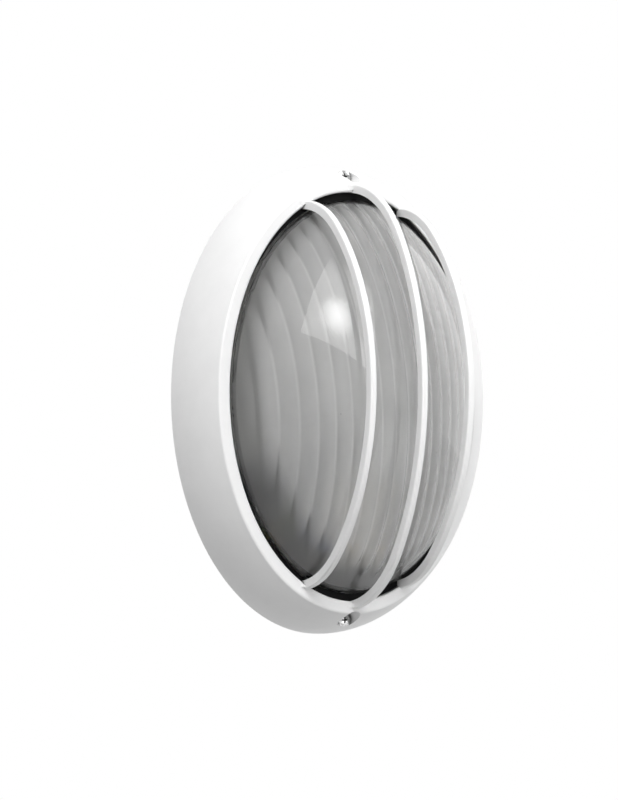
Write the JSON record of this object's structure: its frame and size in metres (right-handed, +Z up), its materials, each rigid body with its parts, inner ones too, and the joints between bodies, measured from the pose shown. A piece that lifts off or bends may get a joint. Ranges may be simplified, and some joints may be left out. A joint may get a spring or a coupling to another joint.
{
  "type": "outdoor wall light",
  "caption": "Oval outdoor bulkhead wall light: white cast cage with bowed vertical bars over a fluted pressed glass dome, with base, lampholder and lamp inside.",
  "frame": {"origin": "on the wall plane, at the middle of the oval base and of its two wall fixing slots", "axes": "+Z up the wall, +X across the light, and the light stands out from the wall towards -Y"},
  "size_m": [0.19, 0.118, 0.27],
  "materials": {
    "white_paint": "satin white powder paint on cast aluminium",
    "cast_aluminium": "as cast",
    "pressed_glass": "smooth outside, fluted inside",
    "black_rubber": "matt",
    "foam_rubber": "closed cell foam",
    "plated_steel": "bright plated",
    "white_sheet": "gloss white",
    "porcelain": "glazed porcelain",
    "brass": "turned",
    "opal_glass": "opal, not see-through",
    "white_nylon": "moulded",
    "brown_insulation": "silicone rubber",
    "blue_insulation": "silicone rubber",
    "green_insulation": "silicone rubber"
  },
  "bodies": {
    "root": {"wall_gasket": "foam_rubber", "rear_base": "cast_aluminium", "cable_grommet": "black_rubber", "glass_gasket": "black_rubber", "glass_dome": "pressed_glass", "front_cage": "white_paint", "cover_screw_upper": "plated_steel", "cover_screw_lower": "plated_steel", "reflector": "white_sheet", "reflector_screws": "plated_steel", "lampholder_body": "porcelain", "lampholder_shell": "brass", "lampholder_contact": "brass", "lampholder_terminals": "brass", "lampholder_bracket": "plated_steel", "lampholder_screws": "plated_steel", "bracket_screws": "plated_steel", "lamp": "opal_glass", "terminal_block": "white_nylon", "terminal_clamps": "brass", "terminal_screws": "brass", "terminal_block_screw": "plated_steel", "earth_screw": "brass", "earth_washer": "brass", "live_lead": "brown_insulation", "neutral_lead": "blue_insulation", "earth_lead": "green_insulation"}
  },
  "joints": []
}
